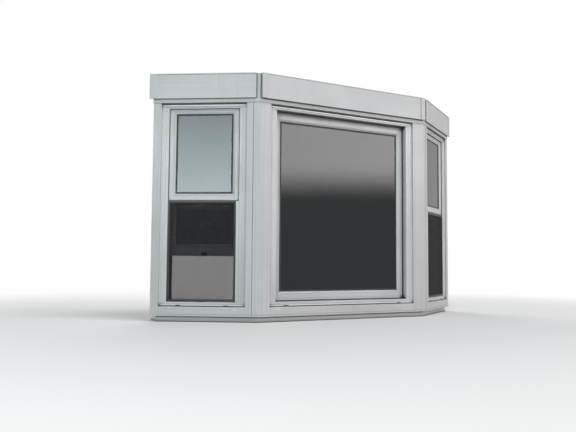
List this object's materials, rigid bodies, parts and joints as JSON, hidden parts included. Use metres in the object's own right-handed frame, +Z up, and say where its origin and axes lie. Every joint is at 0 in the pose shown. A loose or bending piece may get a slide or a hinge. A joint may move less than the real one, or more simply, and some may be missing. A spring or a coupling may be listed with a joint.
{
  "type": "bay window",
  "caption": "Three-facet bay window with a fixed picture window between two double-hung windows with half screens, white trim and frieze, for mounting on a house wall.",
  "frame": {"origin": "middle of the head ledger's back face, in the plane of the house wall", "axes": "+Z up, +X to the right seen from outside, +Y out of the back face into the house"},
  "size_m": [2.2564, 0.4792, 1.403],
  "materials": {
    "painted_board": "smooth white paint on board",
    "wrapped_trim": "white baked enamel on bent sheet, slightly wavy and dusty",
    "framing_lumber": "bare sawn softwood",
    "white_vinyl": "white extruded vinyl, satin",
    "window_glass": "clear sealed double glass",
    "screen_metal": "dark rolled aluminium",
    "screen_mesh": "dark woven wire insect mesh",
    "lock_metal": "cast lock, light finish",
    "black_plastic": "moulded black plastic"
  },
  "bodies": {
    "root": {"seat_board": "painted_board", "head_board": "painted_board", "left_side_jamb": "painted_board", "right_side_jamb": "painted_board", "left_mullion_post": "painted_board", "right_mullion_post": "painted_board", "sub_sills": "painted_board", "left_wall_casing": "wrapped_trim", "right_wall_casing": "wrapped_trim", "left_corner_trim": "wrapped_trim", "right_corner_trim": "wrapped_trim", "sill_trims": "wrapped_trim", "sill_hem": "wrapped_trim", "center_head_trim": "wrapped_trim", "side_head_trims": "wrapped_trim", "left_frieze": "wrapped_trim", "center_frieze": "wrapped_trim", "right_frieze": "wrapped_trim", "frieze_end_strips": "wrapped_trim", "center_header": "framing_lumber", "side_headers": "framing_lumber", "head_ledger": "framing_lumber", "head_joists": "framing_lumber", "center_frame": "white_vinyl", "center_sash": "white_vinyl", "center_glass": "window_glass", "glass_spacers": "black_plastic", "left_frame": "white_vinyl", "left_upper_sash": "white_vinyl", "left_upper_glass": "window_glass", "left_lower_sash": "white_vinyl", "left_lower_glass": "window_glass", "left_screen_frame": "screen_metal", "left_screen_mesh": "screen_mesh", "right_frame": "white_vinyl", "right_upper_sash": "white_vinyl", "right_upper_glass": "window_glass", "right_lower_sash": "white_vinyl", "right_lower_glass": "window_glass", "right_screen_frame": "screen_metal", "right_screen_mesh": "screen_mesh", "sash_locks": "lock_metal", "sash_lifts": "black_plastic", "screen_tabs": "black_plastic"}
  },
  "joints": []
}
